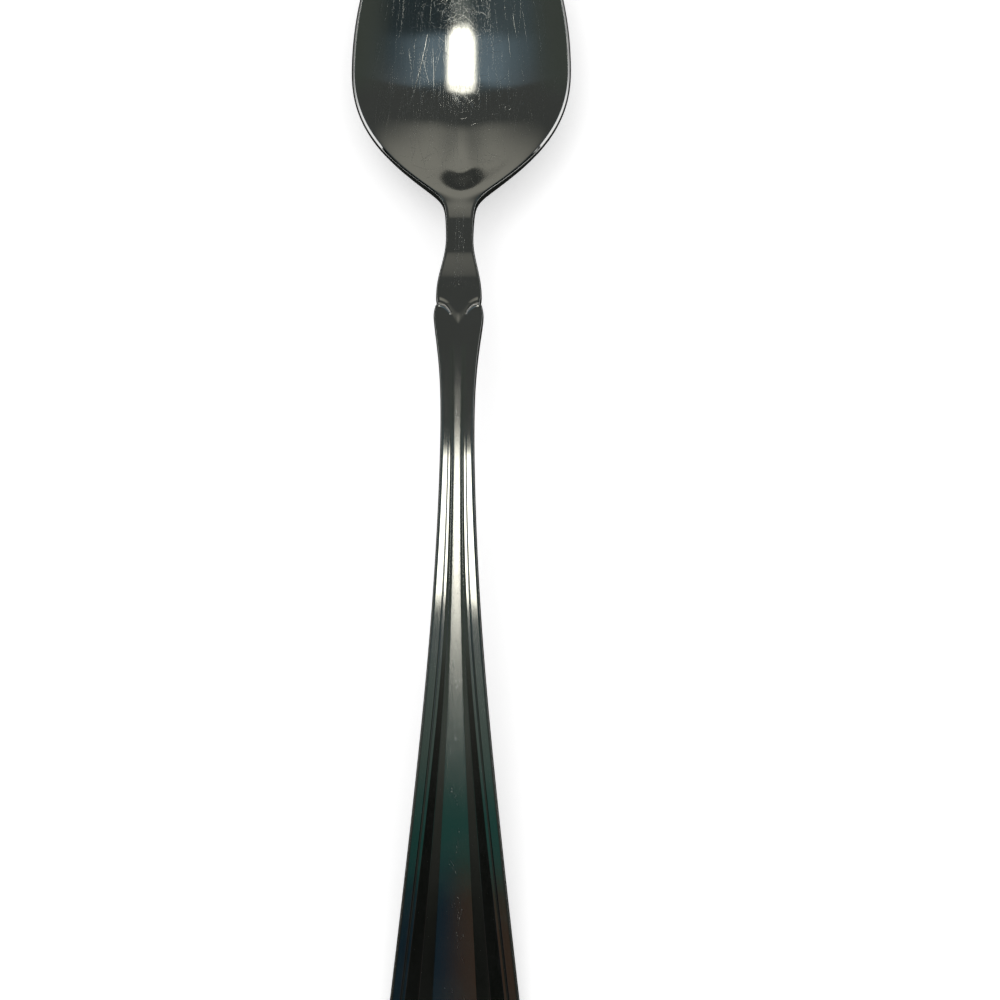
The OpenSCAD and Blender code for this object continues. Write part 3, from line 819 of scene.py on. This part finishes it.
def pale_floor():
    """A plain pale floor for the camera; mirrored rays also see painted shade on it, a dark patch
    close under the spoon.
    """
    h = FLOOR_HALF
    mesh = bpy.data.meshes.new("floor")
    mesh.from_pydata([(-h, -h, 0), (h, -h, 0), (h, h, 0), (-h, h, 0)], [], [(0, 1, 2, 3)])
    floor = bpy.data.objects.new("floor", mesh)
    floor.location.z = -FLOOR_UNDER
    bpy.context.collection.objects.link(floor)
    material = bpy.data.materials.new("pale_floor")
    material.use_nodes = True
    n = Nodes(material.node_tree)
    path = n.add("ShaderNodeLightPath")
    mirrored = mirror_share(n, path)
    # Painted shade: close under the spoon, mirrored rays see the floor dark, in place of its shadow
    # there
    place = n.add("ShaderNodeTexCoord").outputs["Object"]
    place = n.stretch(place, (1 / SHADE_UNDER_X, 1 / SHADE_UNDER_Y, 0.0), move=(0.0, -SHADE_UNDER_AT / SHADE_UNDER_Y, 0.0))
    off = n.add("ShaderNodeVectorMath", operation="LENGTH")
    n.put(off.inputs[0], place)
    on_shade_under = n.smooth(off.outputs["Value"], 1 - SHADE_UNDER_EDGE, 1 + SHADE_UNDER_EDGE, 1.0, 0.0)
    shade_under = n.math("MULTIPLY", mirrored, on_shade_under)

    grain = n.smooth(n.noise(place, GRAIN_SCALE, 3.0, 0.6), 0.3, 0.7, 0.0, 1.0)
    paint = n.add("ShaderNodeBsdfDiffuse")
    pale = n.blend(grain, FLOOR_PALE, FLOOR_PALER)
    # the painted shade's dark colour replaces the pale paint for mirrored rays; outside it they see
    # the floor's glow
    n.put(paint.inputs["Color"], n.blend(shade_under, pale, SHADE_UNDER_DARK))
    glow = n.add("ShaderNodeEmission")
    glow.inputs["Color"].default_value = (1.0, 1.0, 1.0, 1.0)
    seen = n.math("MULTIPLY", path.outputs["Is Camera Ray"], FLOOR_GLOW)
    far = n.math("MULTIPLY", n.math("SUBTRACT", mirrored, shade_under), FLOOR_GLOW)
    n.put(glow.inputs["Strength"], n.math("ADD", seen, far))
    both = n.add("ShaderNodeAddShader")
    n.put(both.inputs[0], paint.outputs[0])
    n.put(both.inputs[1], glow.outputs[0])
    out = n.add("ShaderNodeOutputMaterial")
    n.put(out.inputs["Surface"], both.outputs[0])
    mesh.materials.append(material)


def studio_world():
    """White round about. The steel sees a dim room, with one bright window and a warm wall.

    y is how far a mirrored ray leans toward the bowl, x how far to the right, z how far up.
    """
    world = bpy.data.worlds.new("studio")
    bpy.context.scene.world = world
    world.use_nodes = True
    n = Nodes(world.node_tree)
    path = n.add("ShaderNodeLightPath")
    split = n.add("ShaderNodeSeparateXYZ")
    n.put(split.inputs[0], n.add("ShaderNodeTexCoord").outputs["Generated"])
    x, y, z = split.outputs
    off = n.math("ABSOLUTE", x)

    room = n.blend(n.smooth(x, -0.5, 0.3), ROOM_LEFT, ROOM_RIGHT)
    room = n.blend(n.smooth(y, 0.30, 0.44), room, ROOM_FRONT)
    room = n.blend(n.smooth(off, 0.68, 0.84), room, ROOM_FAR_SIDES)
    wall = n.math("SUBTRACT", y, n.smooth(off, 0.0, 0.5, 0.0, 0.05))
    room = n.blend(n.smooth(wall, 0.755, 0.925), room, WARM_WALL)

    # Dim blinds on both sides of the window, and the window itself
    bow = n.math("MULTIPLY", n.math("MULTIPLY", x, x), WINDOW_BOW)
    up = n.math("SUBTRACT", y, bow)
    wave = n.math("SINE", n.math("MULTIPLY", y, 2 * math.pi / SLAT))
    open_slats = n.math("MULTIPLY", n.window(y, 0.20, 0.31, 0.03), n.window(x, -0.6, -0.19, 0.08))
    slats = n.math("MULTIPLY", n.math("MULTIPLY", wave, open_slats), 0.5)
    fade = n.smooth(off, 0.30, 0.86, 0.95, 0.0)
    fade = n.math("MULTIPLY", fade, n.math("ADD", 1.0, slats))
    blinds = n.math("MULTIPLY", n.window(up, 0.172, 0.342, 0.02), fade)
    room = n.blend(blinds, room, BLINDS)
    mid = n.math("SUBTRACT", x, WINDOW_AT)
    narrow = n.math("MULTIPLY", mid, n.smooth(y, 0.20, 0.125, 1.0, 1.9))
    reach = n.window(up, 0.150, 0.358, 0.016)
    pane = n.math("MULTIPLY", reach, n.window(narrow, -0.165, 0.165, 0.055))
    ribbing = n.math("ADD", 0.5, n.math("MULTIPLY", wave, 0.5))
    glass = n.blend(ribbing, GLASS_DIM, GLASS_BRIGHT)

    # Near-black overhead: grey at the sides, a little lighter in between, green in the middle,
    # and past that blue on one side and brown on the other
    sides = n.blend(n.smooth(y, 0.12, -0.15), OVERHEAD_EDGE, OVERHEAD_BACK)
    lighter = n.math("MULTIPLY", n.window(off, 0.22, 0.48, 0.06), n.window(y, -0.11, 0.02, 0.03))
    sides = n.blend(lighter, sides, OVERHEAD_LIGHTER)
    beyond = n.blend(n.smooth(x, -0.06, 0.0), OVERHEAD_BLUE, OVERHEAD_BROWN)
    middle = n.blend(n.smooth(y, -0.04, -0.09), OVERHEAD_GREY, OVERHEAD_GREEN)
    middle = n.blend(n.smooth(y, -0.125, -0.145), middle, beyond)
    overhead = n.blend(n.smooth(off, 0.10, 0.20, 1.0, 0.0), sides, middle)
    room = n.blend(n.smooth(y, 0.10, 0.03), n.blend(pane, room, glass), overhead)

    # A faint glow between the window and the green
    glow = n.math("MULTIPLY", n.smooth(y, -0.12, 0.15), n.smooth(y, 0.13, 0.19, 1.0, 0.0))
    glow = n.math("MULTIPLY", n.window(mid, -0.11, 0.11, 0.07), glow)
    glow = n.math("MULTIPLY", glow, n.math("SUBTRACT", 1.0, pane))
    room = n.blend(glow, room, GLOW)

    # Round about at the height of the other views: grey walls, a soft white panel by the handle
    low = n.smooth(z, 0.62, 0.42)
    walls = n.blend(n.smooth(z, 0.0, 0.3), LOW_DARK, LOW_GREY)
    room = n.blend(n.math("MULTIPLY", low, n.smooth(y, -0.15, -0.30)), room, walls)
    turned = n.math("SUBTRACT", n.math("MULTIPLY", y, 0.8), n.math("MULTIPLY", x, 0.6))
    panel = n.math("MULTIPLY", n.window(z, 0.10, 0.42, 0.06), n.smooth(turned, -0.68, -0.76))
    room = n.blend(panel, room, PANEL)

    white = n.blend(path.outputs["Is Camera Ray"], (WORLD_LIGHT,) * 3, (1.0, 1.0, 1.0))
    back = n.add("ShaderNodeBackground")
    n.put(back.inputs["Color"], n.blend(mirror_share(n, path), white, room))
    out = n.add("ShaderNodeOutputWorld")
    n.put(out.inputs["Surface"], back.outputs[0])


def soft_lamp():
    """A large lamp high on the bowl's left, for a soft shadow; the steel doesn't mirror it."""
    light = bpy.data.lights.new("softbox", "AREA")
    light.shape = "SQUARE"
    light.size = LAMP_SIZE
    light.energy = LAMP_WATTS
    lamp = bpy.data.objects.new("softbox", light)
    lamp.location = LAMP_AT
    lamp.rotation_euler = (-lamp.location).to_track_quat("-Z", "Y").to_euler()
    lamp.visible_glossy = False
    bpy.context.collection.objects.link(lamp)


def photo_camera():
    """Stands where the photograph's camera stood: almost over the spoon, toward the handle."""
    data = bpy.data.cameras.new("camera")
    data.sensor_width = SENSOR
    data.lens = LENS
    data.shift_x = SHIFT
    data.clip_start = 0.01
    camera = bpy.data.objects.new("camera", data)
    camera.location = CAMERA_AT
    camera.rotation_euler = CAMERA_TURN
    bpy.context.collection.objects.link(camera)
    bpy.context.scene.camera = camera


pale_floor()
studio_world()
soft_lamp()
photo_camera()
bpy.context.scene.view_settings.view_transform = "Standard"
